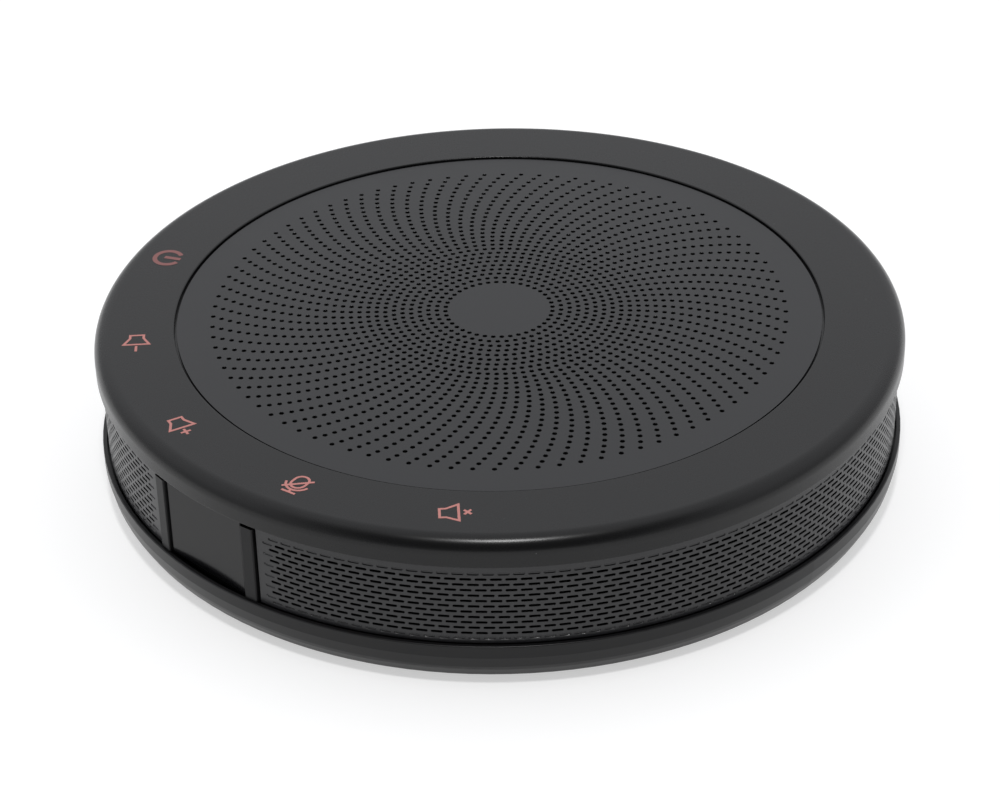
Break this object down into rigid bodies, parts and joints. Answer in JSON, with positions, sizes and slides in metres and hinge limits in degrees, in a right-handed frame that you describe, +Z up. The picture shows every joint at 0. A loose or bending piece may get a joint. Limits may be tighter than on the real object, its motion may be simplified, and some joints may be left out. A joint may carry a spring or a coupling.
{
  "type": "conference speakerphone",
  "caption": "Round table-top conference speakerphone with a perforated top loudspeaker plate, touch symbols on the rim, slotted side bands for the microphones, and sockets at the rear.",
  "frame": {"origin": "centre of the case on the table, level with the undersides of the rubber feet", "axes": "+Z up along the case's round axis; the badge faces -Y and the sockets face +Y"},
  "size_m": [0.2006, 0.2006, 0.0402],
  "materials": {
    "case_plastic": "fine satin moulded black",
    "frame_plastic": "moulded black",
    "grille_metal": "satin powder coat, very dark grey",
    "band_metal": "satin black coat on perforated sheet",
    "acoustic_cloth": "fine black mesh cloth",
    "badge_gloss": "gloss black, no lettering",
    "panel_plastic": "moulded black",
    "foot_rubber": "matt black",
    "seal_rubber": "soft black",
    "board_laminate": "green solder resist",
    "chip_plastic": "moulded black",
    "can_metal": "plain tinned",
    "lamp_plastic": "milky white",
    "socket_metal": "plated",
    "jack_plastic": "moulded black",
    "screw_steel": "black zinc",
    "basket_steel": "black coat on pressed steel",
    "motor_steel": "zinc plated",
    "magnet_nickel": "nickel plated",
    "coil_copper": "lacquered copper wire",
    "former_film": "amber film",
    "cone_paper": "pressed black pulp",
    "spider_cloth": "resin-treated cloth",
    "surround_rubber": "soft black",
    "ribbon_film": "amber film",
    "lead_insulation": "red"
  },
  "bodies": {
    "case": {"amplifier_chip": "chip_plastic", "audio_jack": "jack_plastic", "badge_panel": "badge_gloss", "base_cover": "case_plastic", "board_header": "chip_plastic", "board_screws": "screw_steel", "box_gasket": "seal_rubber", "box_screws": "screw_steel", "cap_screws": "screw_steel", "case_screws": "screw_steel", "chassis": "frame_plastic", "driver_basket": "basket_steel", "driver_gasket": "seal_rubber", "driver_screws": "screw_steel", "icon_diffusers": "lamp_plastic", "icon_lamps": "lamp_plastic", "lead_grommet": "seal_rubber", "lead_socket": "chip_plastic", "magnet": "magnet_nickel", "magnet_yoke": "motor_steel", "main_board": "board_laminate", "mic_boards": "board_laminate", "mic_boots": "seal_rubber", "mic_capsules": "can_metal", "middle_frame": "frame_plastic", "pole_plate": "motor_steel", "power_capacitors": "can_metal", "power_coils": "chip_plastic", "processor_chip": "chip_plastic", "ribbon_socket": "chip_plastic", "rubber_foot_1": "foot_rubber", "rubber_foot_2": "foot_rubber", "rubber_foot_3": "foot_rubber", "rubber_foot_4": "foot_rubber", "shield_can": "can_metal", "side_cloth_left": "acoustic_cloth", "side_cloth_right": "acoustic_cloth", "side_grille_left": "band_metal", "side_grille_right": "band_metal", "socket_board": "board_laminate", "socket_board_screws": "screw_steel", "socket_panel": "panel_plastic", "speaker_box": "frame_plastic", "speaker_cloth": "acoustic_cloth", "speaker_lead": "lead_insulation", "speaker_plate": "grille_metal", "spider": "spider_cloth", "surround": "surround_rubber", "terminal_tag": "chip_plastic", "top_ring": "case_plastic", "touch_board": "board_laminate", "touch_ribbon": "ribbon_film", "usb_port": "socket_metal"},
    "cone_assembly": {"cone": "cone_paper", "dust_cap": "cone_paper", "voice_coil": "coil_copper", "coil_former": "former_film"}
  },
  "joints": [
    {"name": "cone_travel", "type": "slide", "parent": "case", "child": "cone_assembly", "axis": [0, 0, 1], "range_m": [-0.0025, 0.0025], "stiffness_N_per_m": 1200, "deforming": ["surround", "spider"]}
  ]
}
